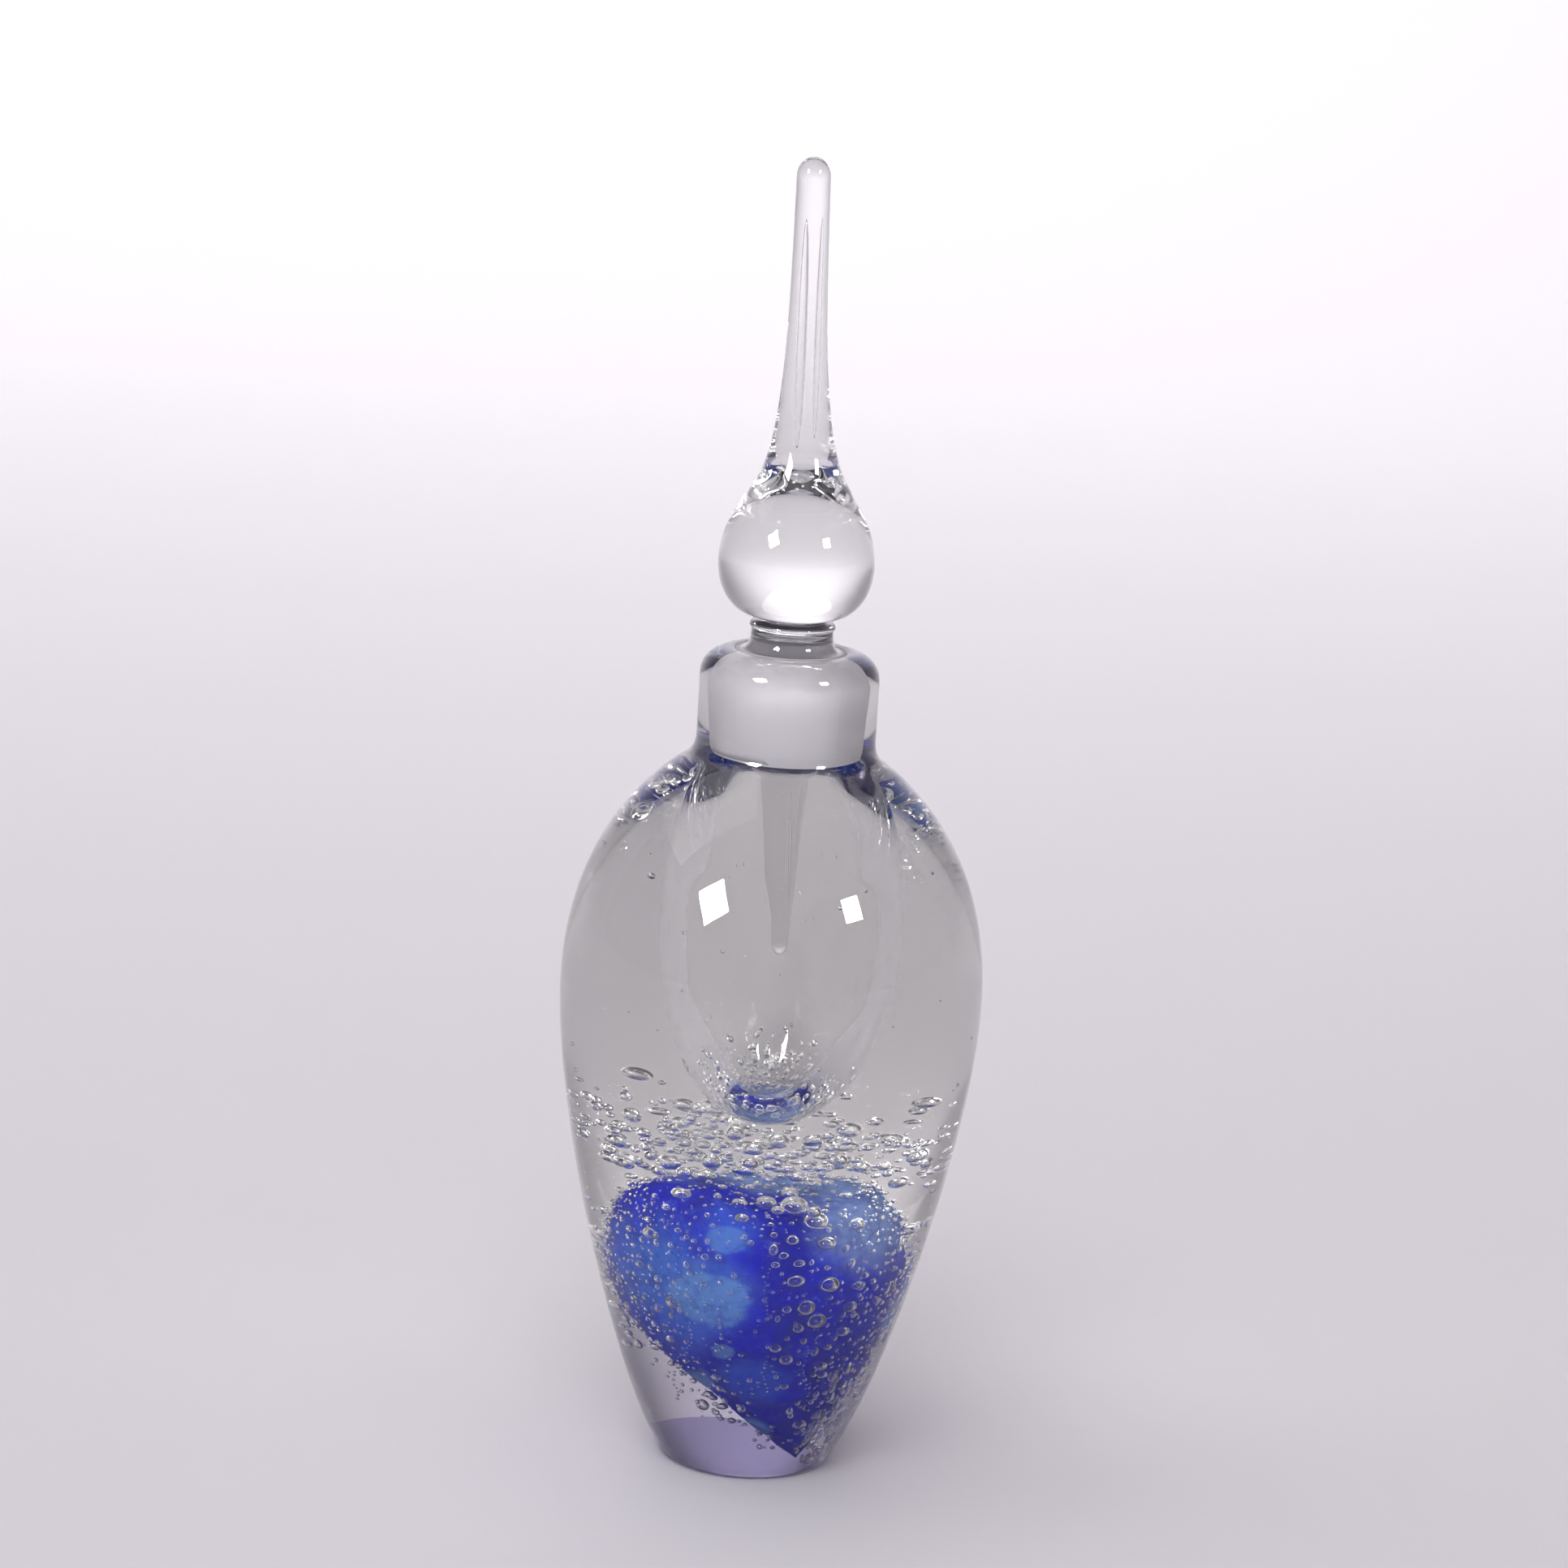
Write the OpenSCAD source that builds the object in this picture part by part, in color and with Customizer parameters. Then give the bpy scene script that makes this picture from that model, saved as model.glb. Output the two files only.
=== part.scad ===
// Hand-blown stoppered perfume bottle: a thick clear ovoid body with a small
// inner well, a tilted blue core under it, a short neck with a ground taper,
// and a solid stopper with a dauber, a ball and a long spire.
// The origin is the centre of the flat base, +Z is up.

/* [Body] */
// Diameter of the body at its widest
body_d = 57; // [46:0.5:80]
// Height of the body from the base to the foot of the neck
body_h = 97.4; // [80:0.1:130]
// Height of the widest place above the base
belly_z = 65.5; // [50:0.5:75]
// Diameter of the flat ground base
base_d = 21; // [16:0.5:30]
// Width of the rounded edge around the base
base_edge = 2.2; // [0.4:0.1:4]

/* [Neck] */
// Height of the neck from the shoulder to the lip
neck_h = 14.9; // [12:0.1:22]
// Wall of the inner vessel inside the neck
neck_wall = 2.2; // [1.2:0.1:4]
// Thickness of the clear band wrapped around the neck
neck_band = 2.4; // [1.2:0.1:4]
// Radius of the rounded lip
lip_r = 3.6; // [1.5:0.1:4]
// Width of the flare where the band meets the shoulder
flare_w = 1.6; // [0.5:0.1:3]
// Height of that flare
flare_h = 3.2; // [1:0.1:5]

/* [Ground joint] */
// Diameter of the ground socket at its mouth
socket_d = 14.8; // [11:0.1:20]
// Length of the ground socket
socket_l = 15.3; // [10:0.1:20]
// Taper of socket and plug, diameter lost for each mm of length
taper = 0.1; // [0.05:0.01:0.15]
// Radial clearance between plug and socket
plug_gap = 0.03; // [0.01:0.01:0.1]
// How far the plug ends short of the end of the socket
plug_short = 0.5; // [0.2:0.1:3]

/* [Well] */
// Widest inside diameter of the well
well_d = 22.6; // [16:0.2:32]
// Height of its widest place below the foot of the neck
well_belly = 21.4; // [12:0.1:28]
// Wall of the vessel around the well
well_wall = 3; // [1.5:0.1:5]

/* [Blue core] */
// Largest diameter of the core
core_d = 26; // [16:0.5:32]
// Length of the core from its tip to its crown
core_h = 40.5; // [28:0.5:50]
// Height of its widest place above the tip
core_belly = 26.5; // [16:0.5:30]
// Height of the tip above the base
core_floor = 3.3; // [1.6:0.1:8]
// Sideways offset of the tip from the axis
tip_offset = 4.6; // [0:0.1:6]
// Lean of the core from the vertical
core_lean = 6.7; // [0:0.1:10]

/* [Bubble veil] */
// Thickness of the bubbly clear gather around the core
veil_t = 2.8; // [1:0.1:4]
// Its thickness under the tip of the core
veil_under = 1.2; // [0.4:0.1:1.5]
// Clear glass between the veil and the vessel of the well
veil_gap = 1.1; // [0.5:0.1:10]

/* [Stopper] */
// How much smaller the collar's root is than the plug, on the radius
collar_step = 1.1; // [0.2:0.1:2]
// Diameter of the collar at its waist
collar_d = 10.9; // [8:0.1:16]
// Height of the collar
collar_h = 2.9; // [1:0.1:6]
// Diameter of the bead ring between collar and ball
bead_d = 11.5; // [9:0.1:17]
// Height of the bead ring
bead_h = 0.9; // [0.6:0.1:3]
// Diameter of the ball
ball_d = 20.8; // [15:0.1:30]
// Height of the ball
ball_h = 18; // [12:0.1:28]
// Height of the ball's widest place above its foot
ball_belly = 7.9; // [5:0.1:12]
// Diameter of the ball's foot
ball_foot_d = 11.2; // [8:0.1:14]

/* [Spire] */
// Length of the spire from the ball to its tip
spire_h = 43.5; // [20:0.5:70]
// Diameter of its root, where it leaves the ball
spire_root_d = 13; // [8:0.1:15]
// Diameter just under its rounded tip
spire_tip_d = 4.5; // [3:0.1:8]
// Lean of the spire from the vertical
spire_lean = 1; // [0:0.1:3]

/* [Dauber] */
// Length of the dauber below the plug
dauber_l = 29; // [10:0.1:40]
// How much smaller its root is than the plug's end, on the radius
dauber_step = 1.2; // [0.4:0.1:2.5]
// Diameter just above its rounded tip
dauber_tip_d = 3.5; // [2:0.1:5]

/* [Hidden] */
$fn = 96;
// Straight steps along each drawn curve
steps = 20;
// Steps along each small rounding
round_steps = 6;

// Radii and heights of the bottle
body_r = body_d / 2;
base_r = base_d / 2;
neck_in_r = socket_d / 2 + neck_wall;
neck_r = neck_in_r + neck_band;
shoulder_r = neck_r + flare_w;
lip_z = body_h + neck_h;
socket_r = socket_d / 2;
socket_z = lip_z - socket_l;
socket_end_r = socket_r - taper * socket_l / 2;
well_r = well_d / 2;
well_belly_z = body_h - well_belly;
well_floor_z = core_floor + core_h + veil_t + veil_gap + well_wall;
core_r = core_d / 2;

// Radii and heights of the stopper
plug_l = socket_l - plug_short;
plug_z = lip_z - plug_l;
plug_r = socket_r - plug_gap;
plug_end_r = plug_r - taper * plug_l / 2;
collar_z = lip_z;
bead_z = collar_z + collar_h;
ball_z = bead_z + bead_h;
spire_z = ball_z + ball_h;
ball_r = ball_d / 2;
spire_root_r = spire_root_d / 2;
spire_tip_r = spire_tip_d / 2;
dauber_r = plug_end_r - dauber_step;
dauber_tip_r = dauber_tip_d / 2;

// A point on the cubic curve with ends a, d and handles b, c
function curve_at(a, b, c, d, t) =
    pow(1 - t, 3) * a + 3 * pow(1 - t, 2) * t * b
    + 3 * (1 - t) * t * t * c + pow(t, 3) * d;

// The points of that curve after its first one
function curve(a, b, c, d, n = steps) =
    [for (i = [1:n]) curve_at(a, b, c, d, i / n)];

// Half outline of the whole body, from the base up to the shoulder
function body_outline() =
    let (foot = [base_r + base_edge, base_edge])
    let (belly = [body_r, belly_z])
    let (low = 0.27 * (belly_z - base_edge))
    concat(
        [[0, 0], [base_r, 0]],
        curve([base_r, 0], [base_r + base_edge / 2, 0], foot - [0, base_edge / 2], foot, round_steps),
        curve(foot, foot + [6.6, 11.6], belly - [0, low], belly),
        curve(belly, belly + [0, 0.55 * (body_h - belly_z)],
              [shoulder_r + 6.7, body_h - 5], [shoulder_r, body_h]),
        [[0, body_h]]
    );

// Half outline of the well, grown outward by w, from its floor to the neck
function well_outline(w, end) =
    let (floor_z = well_floor_z - w)
    let (belly = [well_r + w, well_belly_z])
    let (depth = well_belly_z - floor_z)
    concat(
        [[0, floor_z]],
        curve([0, floor_z], [0.6 * belly[0], floor_z], belly - [0, 0.53 * depth], belly),
        curve(belly, belly + [0, 0.4 * (end[1] - well_belly_z)],
              end + [2.8, -0.35 * (end[1] - well_belly_z)], end)
    );

// The space inside the vessel: the well and the ground socket above it
module well_space() {
    rotate_extrude()
        polygon(concat(
            well_outline(0, [socket_end_r, socket_z]),
            [[socket_r, lip_z], [socket_r, lip_z + 1], [0, lip_z + 1]]
        ));
}

// The solid envelope of the inner vessel, as high as the lip
module vessel_envelope() {
    rotate_extrude()
        polygon(concat(
            well_outline(well_wall, [neck_in_r, body_h]),
            [[neck_in_r, lip_z], [0, lip_z]]
        ));
}

// Solid neck with its rounded lip and the flare at its foot
module neck_envelope() {
    rotate_extrude() {
        translate([0, body_h])
            square([neck_r - lip_r, neck_h]);
        translate([0, body_h])
            square([neck_r, neck_h - lip_r]);
        translate([neck_r - lip_r, lip_z - lip_r])
            circle(lip_r);
        polygon(concat(
            [[0, body_h], [shoulder_r, body_h]],
            curve([shoulder_r, body_h], [neck_r + 0.2 * flare_w, body_h + 0.2 * flare_h],
                  [neck_r, body_h + 0.6 * flare_h], [neck_r, body_h + flare_h], round_steps),
            [[0, body_h + flare_h]]
        ));
    }
}

// A teardrop standing on its tip, grown outward by w and downward by under
module teardrop(w, under) {
    belly = [core_r + w, core_belly];
    crown = core_h + w;
    rotate_extrude()
        polygon(concat(
            [[0, -under]],
            curve([0, -under], [0.4 * core_r + w, 0.33 * core_belly], belly - [0, 0.36 * core_belly], belly),
            curve(belly, belly + [0, 0.65 * (crown - core_belly)], [0.65 * belly[0], crown], [0, crown])
        ));
}

// Puts a teardrop on its leaning axis
module at_core() {
    translate([tip_offset, 0, core_floor])
        rotate([0, -core_lean, 0])
            children();
}

// Blue glass core
module blue_core() {
    color("mediumblue")
        at_core() teardrop(0, 0);
}

// Clear gather laid over the core, which traps the bubbles
module veil_gather() {
    color("lightskyblue")
        at_core() difference() {
            teardrop(veil_t, veil_under);
            teardrop(0, 0);
        }
}

// Clear inner vessel: the wall of the well and the ground socket
module well_vessel() {
    color("azure")
        difference() {
            intersection() {
                vessel_envelope();
                union() {
                    neck_envelope();
                    cylinder(r = body_r, h = body_h);
                }
            }
            well_space();
        }
}

// Thick clear outer gather, which gives the bottle its shape
module outer_casing() {
    color("lightcyan")
        difference() {
            rotate_extrude() polygon(body_outline());
            vessel_envelope();
            at_core() teardrop(veil_t, veil_under);
        }
}

// Clear band wrapped around the neck, with the rounded lip
module neck_collar() {
    color("powderblue")
        difference() {
            neck_envelope();
            translate([0, 0, body_h - 1])
                cylinder(r = neck_in_r, h = neck_h + 2);
        }
}

// Ground taper plug of the stopper
module ground_plug() {
    color("gainsboro")
        translate([0, 0, plug_z])
            cylinder(r1 = plug_end_r, r2 = plug_r, h = plug_l);
}

// Drawn glass rod that carries the scent up out of the well
module dauber() {
    tip_z = plug_z - dauber_l;
    tip_h = 1.2 * dauber_tip_r;
    root = [dauber_r, plug_z];
    end = [dauber_tip_r, tip_z + tip_h];
    color("aliceblue")
        rotate_extrude()
            polygon(concat(
                [[0, plug_z], root],
                curve(root, root - [0.35 * dauber_r, 0.2 * dauber_l],
                      end + [0.8, 0.45 * dauber_l], end),
                curve(end, end - [0, 0.6 * tip_h], [0.6 * dauber_tip_r, tip_z], [0, tip_z], round_steps)
            ));
}

// Waisted collar between the plug and the bead ring
module stopper_collar() {
    root = [plug_r - collar_step, collar_z];
    waist = [collar_d / 2, bead_z];
    color("aliceblue")
        rotate_extrude()
            polygon(concat(
                [[0, collar_z], root],
                curve(root, [waist[0] + 0.1, collar_z + 0.3 * collar_h],
                      waist - [0, 0.4 * collar_h], waist, round_steps),
                [[0, bead_z]]
            ));
}

// Thin bead ring under the ball
module bead_ring() {
    edge_r = bead_h / 2;
    color("lightsteelblue")
        translate([0, 0, bead_z])
            rotate_extrude() {
                square([bead_d / 2 - edge_r, bead_h]);
                translate([bead_d / 2 - edge_r, edge_r])
                    circle(edge_r);
            }
}

// Onion-shaped solid ball
module ball_knop() {
    foot = [ball_foot_d / 2, ball_z];
    belly = [ball_r, ball_z + ball_belly];
    top = [spire_root_r, spire_z];
    color("aliceblue")
        rotate_extrude()
            polygon(concat(
                [[0, ball_z], foot],
                curve(foot, foot + [2.9, 0.9], belly - [0, 0.45 * ball_belly], belly),
                curve(belly, belly + [0, 0.45 * (ball_h - ball_belly)],
                      top + [1.6, -0.27 * (ball_h - ball_belly)], top),
                [[0, spire_z]]
            ));
}

// Long drawn spire, leaning a little as hand work does
module spire_finial() {
    tip_h = 1.25 * spire_tip_r;
    skirt = 1;
    root = [spire_root_r, 0];
    end = [spire_tip_r, spire_h - tip_h];
    color("aliceblue")
        translate([0, 0, spire_z])
            intersection() {
                rotate([0, -spire_lean, 0])
                    rotate_extrude()
                        polygon(concat(
                            [[0, -skirt], root - [0, skirt], root],
                            curve(root, [0.36 * spire_root_r + 0.4, 0.13 * spire_h],
                                  end + [0.2, -0.49 * spire_h], end),
                            curve(end, end + [0, 0.6 * tip_h], [0.6 * spire_tip_r, spire_h],
                                  [0, spire_h], round_steps)
                        ));
                cylinder(r = 2 * spire_root_r, h = 2 * spire_h);
            }
}

blue_core();
veil_gather();
well_vessel();
outer_casing();
neck_collar();
ground_plug();
dauber();
stopper_collar();
bead_ring();
ball_knop();
spire_finial();
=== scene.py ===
# Hand-blown perfume bottle with a ground stopper, in clear and cobalt studio glass.
# The bottle and the stopper are each one body of glass, as the fused pieces really are.
import math
import random

import bpy
from mathutils import Matrix, Vector


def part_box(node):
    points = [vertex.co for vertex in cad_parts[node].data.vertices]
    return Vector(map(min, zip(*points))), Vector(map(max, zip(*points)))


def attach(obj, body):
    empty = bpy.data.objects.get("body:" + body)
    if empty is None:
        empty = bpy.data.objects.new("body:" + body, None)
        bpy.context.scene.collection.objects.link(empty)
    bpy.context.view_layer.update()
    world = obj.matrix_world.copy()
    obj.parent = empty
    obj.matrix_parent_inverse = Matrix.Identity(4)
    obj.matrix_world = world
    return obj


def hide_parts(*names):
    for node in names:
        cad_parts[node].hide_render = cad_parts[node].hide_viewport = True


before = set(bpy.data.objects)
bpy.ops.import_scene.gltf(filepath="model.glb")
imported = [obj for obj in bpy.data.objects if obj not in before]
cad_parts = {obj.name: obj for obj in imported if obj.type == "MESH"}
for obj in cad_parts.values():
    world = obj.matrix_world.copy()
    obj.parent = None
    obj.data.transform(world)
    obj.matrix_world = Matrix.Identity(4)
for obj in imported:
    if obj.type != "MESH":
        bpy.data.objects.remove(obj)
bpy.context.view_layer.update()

MM = 0.001
random.seed(7)


# ---------------------------------------------------------------- sizes, in millimetres

def top_of(node):
    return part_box(node)[1].z / MM


def foot_of(node):
    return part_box(node)[0].z / MM


def radius_of(node):
    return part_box(node)[1].y / MM


AROUND = 160            # segments round each turned shape
GLASS_IOR = 1.5

# the body, from its flat foot to its shoulder
BODY_R = radius_of("outer_casing")
BODY_H = top_of("outer_casing")
BELLY_Z = 65.5
BASE_R = 10.5
BASE_EDGE = 2.2
# the neck, with its rounded lip
SHOULDER_R = radius_of("neck_collar")
LIP_Z = top_of("well_vessel")
NECK_R = SHOULDER_R - 1.6
LIP_ROUND = 3.6
FLARE_H = 3.2

# the ground joint: both faces have one taper, and the plug leaves a gap all round
TAPER = 0.05
PLUG_TOP_R = radius_of("ground_plug")
PLUG_Z = foot_of("ground_plug")
PLUG_END_R = PLUG_TOP_R - TAPER * (LIP_Z - PLUG_Z)
PLUG_GAP = 0.03
SOCKET_Z = PLUG_Z - 0.5
SOCKET_R = PLUG_TOP_R + PLUG_GAP
SOCKET_END_R = SOCKET_R - TAPER * (LIP_Z - SOCKET_Z)
MOUTH_EDGE = 0.5

# the well, inside the vessel's wall
VESSEL_WALL = 3.0
WELL_R = radius_of("well_vessel") - VESSEL_WALL
WELL_BELLY_Z = BODY_H - 21.4
WELL_FLOOR_Z = foot_of("well_vessel") + VESSEL_WALL
WELL_OFFSET = 0.6       # the well's middle stands a little to one side

# the stopper, from the dauber's tip to the spire's
DAUBER_TIP_Z = foot_of("dauber")
DAUBER_TIP_R = 1.75
DAUBER_STEP = 1.2
COLLAR_R = radius_of("stopper_collar")
WAIST_R = 5.45
BEAD_Z = foot_of("bead_ring")
BEAD_R = radius_of("bead_ring")
BALL_Z = foot_of("ball_knop")
BALL_R = radius_of("ball_knop")
BALL_BELLY_Z = BALL_Z + 7.9
BALL_FOOT_R = 5.6
SPIRE_Z = foot_of("spire_finial")
SPIRE_H = 43.5
SPIRE_ROOT_R = 6.5
SPIRE_TIP_R = 2.25
SPIRE_LEAN = math.radians(1)

# the cobalt core, a leaning teardrop that stands on its point
CORE_R = 13.0
CORE_H = 40.5
CORE_BELLY_Z = 26.5
CORE_LEAN = math.radians(-6.7)
CORE_POINT = (4.6, 0, 3.3)

# the lilac dome in the foot, which is painted shade
VEIL_R = 8.8
VEIL_FOOT_Z = 0.4
VEIL_TOP_Z = 9.0
VEIL_PLACE = (-1.9, -0.4, 0)


# ---------------------------------------------------------------- modelling

def deselect():
    if bpy.context.object and bpy.context.object.mode != "OBJECT":
        bpy.ops.object.mode_set(mode="OBJECT")
    bpy.ops.object.select_all(action="DESELECT")


def pick(piece, wanted):
    """Opens the piece for editing with only the vertices that pass the test selected."""
    deselect()
    for part in (piece.data.polygons, piece.data.edges):
        part.foreach_set("select", [False] * len(part))
    for vertex in piece.data.vertices:
        vertex.select = wanted(vertex.co / MM)
    bpy.context.view_layer.objects.active = piece
    piece.select_set(True)
    bpy.ops.object.mode_set(mode="EDIT")


def pull(piece, wanted, by, reach):
    """Moves the vertices that pass the test, with a smooth falloff round them, in millimetres."""
    pick(piece, wanted)
    bpy.ops.transform.translate(
        value=[c * MM for c in by], use_proportional_edit=True, proportional_edit_falloff="SMOOTH",
        proportional_size=reach * MM, use_proportional_connected=True)
    bpy.ops.object.mode_set(mode="OBJECT")


def settle(piece):
    """Puts the piece's place and turn into its mesh, so that its origin is the frame's."""
    deselect()
    piece.select_set(True)
    bpy.context.view_layer.objects.active = piece
    bpy.ops.object.transform_apply(location=True, rotation=True, scale=True)


def curve(a, b, c, d, steps=24):
    """Points of the cubic curve from a to d with handles b and c, without its first one."""
    points = []
    for i in range(1, steps + 1):
        t = i / steps
        s = 1 - t
        weights = (s * s * s, 3 * s * s * t, 3 * s * t * t, t * t * t)
        points.append(tuple(
            sum(w * p[k] for w, p in zip(weights, (a, b, c, d))) for k in (0, 1)
        ))
    return points


def line(a, b, steps):
    """Evenly spaced points from a to b, without a."""
    return [
        (a[0] + (b[0] - a[0]) * i / steps, a[1] + (b[1] - a[1]) * i / steps)
        for i in range(1, steps + 1)
    ]


def arc(centre, radius, start, end, steps=10):
    """Points along an arc, angles in degrees from the outward direction, without the first."""
    points = []
    for i in range(1, steps + 1):
        turn = math.radians(start + (end - start) * i / steps)
        points.append((centre[0] + radius * math.cos(turn), centre[1] + radius * math.sin(turn)))
    return points


def number_by_place(mesh):
    """Numbers the vertices and faces by where they are. A spin leaves them in an order that changes
    from run to run, and the random draws below go by number."""
    spots = sorted(tuple(vertex.co) for vertex in mesh.vertices)
    number = {spot: i for i, spot in enumerate(spots)}
    faces = []
    for face in mesh.polygons:
        corners = [number[tuple(mesh.vertices[i].co)] for i in face.vertices]
        first = corners.index(min(corners))
        faces.append(corners[first:] + corners[:first])
    mesh.clear_geometry()
    mesh.from_pydata(spots, [], sorted(faces))
    mesh.update()


def turned(name, outline):
    """Draws a half outline in the XZ plane by extruding one vertex, and spins it round Z."""
    deselect()
    bpy.ops.mesh.primitive_plane_add(size=MM, location=(outline[0][0] * MM, 0, outline[0][1] * MM))
    piece = bpy.context.object
    piece.name = name
    bpy.ops.object.transform_apply(location=True, rotation=False, scale=False)
    bpy.ops.object.mode_set(mode="EDIT")
    bpy.ops.mesh.merge(type="CENTER")
    for here, there in zip(outline, outline[1:]):
        step = ((there[0] - here[0]) * MM, 0, (there[1] - here[1]) * MM)
        bpy.ops.mesh.extrude_vertices_move(TRANSFORM_OT_translate={"value": step})
    bpy.ops.mesh.select_all(action="SELECT")
    bpy.ops.mesh.spin(
        steps=AROUND, angle=math.tau, center=(0, 0, 0), axis=(0, 0, 1), use_auto_merge=True
    )
    bpy.ops.mesh.select_all(action="SELECT")
    bpy.ops.mesh.remove_doubles(threshold=0.002 * MM)
    bpy.ops.mesh.normals_make_consistent(inside=False)
    bpy.ops.object.mode_set(mode="OBJECT")
    number_by_place(piece.data)
    bpy.ops.object.shade_smooth()
    return piece


# ---------------------------------------------------------------- outlines
# Each is a run of (radius, height) points. The two middle points of a curve are its handles.

def body_outline():
    foot = (BASE_R + BASE_EDGE, BASE_EDGE)
    belly = (BODY_R, BELLY_Z)
    rise = BODY_H - BELLY_Z
    low = 0.27 * (BELLY_Z - BASE_EDGE)
    return (
        [(0, 0)]
        + line((0, 0), (BASE_R, 0), 8)
        + curve((BASE_R, 0), (BASE_R + BASE_EDGE / 2, 0), (foot[0] - 0.6, foot[1] - 1.04), foot, 10)
        + curve(foot, (foot[0] + 6.6, foot[1] + 11.6), (BODY_R, BELLY_Z - low), belly, 48)
        + curve(belly, (BODY_R, BELLY_Z + 0.55 * rise), (SHOULDER_R + 6.7, BODY_H - 5),
                (SHOULDER_R, BODY_H), 36)
    )


def neck_outline():
    flare = SHOULDER_R - NECK_R
    lip = (NECK_R - LIP_ROUND, LIP_Z - LIP_ROUND)
    return (
        curve((SHOULDER_R, BODY_H), (NECK_R + 0.2 * flare, BODY_H + 0.2 * FLARE_H),
              (NECK_R, BODY_H + 0.6 * FLARE_H), (NECK_R, BODY_H + FLARE_H), 10)
        + line((NECK_R, BODY_H + FLARE_H), (NECK_R, LIP_Z - LIP_ROUND), 6)
        + arc(lip, LIP_ROUND, 0, 90, 14)
    )


def well_outline():
    belly = (WELL_R, WELL_BELLY_Z)
    depth = WELL_BELLY_Z - WELL_FLOOR_Z
    rise = SOCKET_Z - WELL_BELLY_Z
    rim = (SOCKET_R + MOUTH_EDGE, LIP_Z)
    mouth = (SOCKET_R, LIP_Z - MOUTH_EDGE)
    return (
        line((NECK_R - LIP_ROUND, LIP_Z), rim, 2)
        + curve(rim, (SOCKET_R + 0.1, LIP_Z), (SOCKET_R, LIP_Z - 0.1), mouth, 5)
        + line(mouth, (SOCKET_END_R, SOCKET_Z), 12)
        + curve((SOCKET_END_R, SOCKET_Z), (SOCKET_END_R + 2.8, SOCKET_Z - 0.35 * rise),
                (WELL_R, WELL_BELLY_Z + 0.4 * rise), belly, 28)
        + curve(belly, (WELL_R, WELL_BELLY_Z - 0.53 * depth), (0.6 * WELL_R, WELL_FLOOR_Z),
                (0, WELL_FLOOR_Z), 36)
    )


def dauber_outline():
    tip_h = 1.2 * DAUBER_TIP_R
    end = (DAUBER_TIP_R, DAUBER_TIP_Z + tip_h)
    length = PLUG_Z - DAUBER_TIP_Z
    root_r = PLUG_END_R - DAUBER_STEP
    return (
        [(0, DAUBER_TIP_Z)]
        + curve((0, DAUBER_TIP_Z), (0.6 * DAUBER_TIP_R, DAUBER_TIP_Z), (end[0], end[1] - 0.6 * tip_h),
                end, 10)
        + curve(end, (end[0] + 0.8, end[1] + 0.45 * length), (0.65 * root_r, PLUG_Z - 0.2 * length),
                (root_r, PLUG_Z), 28)
    )


def stopper_outline():
    step = line((PLUG_END_R - DAUBER_STEP, PLUG_Z), (PLUG_END_R, PLUG_Z), 2)
    plug = line((PLUG_END_R, PLUG_Z), (PLUG_TOP_R, LIP_Z), 12)

    collar_h = BEAD_Z - LIP_Z
    collar = line((PLUG_TOP_R, LIP_Z), (COLLAR_R, LIP_Z), 2) + curve(
        (COLLAR_R, LIP_Z), (WAIST_R + 0.1, LIP_Z + 0.3 * collar_h),
        (WAIST_R, BEAD_Z - 0.4 * collar_h), (WAIST_R, BEAD_Z), 8)

    edge = (BALL_Z - BEAD_Z) / 2
    groove = (4.1, BALL_Z + 0.1)
    bead = arc((BEAD_R - edge, BEAD_Z + edge), edge, -90, 90, 10) + [groove]

    foot = (BALL_FOOT_R, BALL_Z + 0.75)
    belly = (BALL_R, BALL_BELLY_Z)
    root = (SPIRE_ROOT_R, SPIRE_Z)
    above = SPIRE_Z - BALL_BELLY_Z
    ball = [foot] + curve(
        foot, (BALL_FOOT_R + 2.9, BALL_Z + 1.25), (BALL_R, BALL_BELLY_Z - 3.6), belly, 20
    ) + curve(belly, (BALL_R, BALL_BELLY_Z + 0.45 * above),
              (SPIRE_ROOT_R + 1.6, SPIRE_Z - 0.27 * above), root, 18)

    tip_h = 1.25 * SPIRE_TIP_R
    tip_z = SPIRE_Z + SPIRE_H
    end = (SPIRE_TIP_R, tip_z - tip_h)
    spire = curve(root, (0.36 * SPIRE_ROOT_R + 0.4, SPIRE_Z + 0.13 * SPIRE_H),
                  (end[0] + 0.2, end[1] - 0.49 * SPIRE_H), end, 36)
    spire += curve(end, (end[0], end[1] + 0.6 * tip_h), (0.6 * end[0], tip_z), (0, tip_z), 12)
    return dauber_outline() + step + plug + collar + bead + ball + spire


# ---------------------------------------------------------------- shader nodes

def linear(colour):
    """An sRGB hex colour as linear RGBA."""
    parts = [int(colour[i:i + 2], 16) / 255 for i in (1, 3, 5)]
    return [p / 12.92 if p <= 0.04045 else ((p + 0.055) / 1.055) ** 2.4 for p in parts] + [1.0]


def feed(tree, socket, value):
    """Links another node's output into the socket, or sets its plain value."""
    if isinstance(value, bpy.types.NodeSocket):
        tree.links.new(value, socket)
    else:
        socket.default_value = value


def node(tree, kind, settings=None, **inputs):
    """Adds a node with its settings and its inputs, named by socket with _ for a space."""
    made = tree.nodes.new(kind)
    for key, value in (settings or {}).items():
        setattr(made, key, value)
    for name, value in inputs.items():
        feed(tree, made.inputs[name.replace("_", " ")], value)
    return made


def ramp(tree, value, start, end, low=0.0, high=1.0, shape="SMOOTHSTEP"):
    """Goes from low to high while the value goes from start to end."""
    made = node(tree, "ShaderNodeMapRange", {"interpolation_type": shape}, Value=value,
                From_Min=start, From_Max=end, To_Min=low, To_Max=high)
    return made.outputs["Result"]


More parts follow.
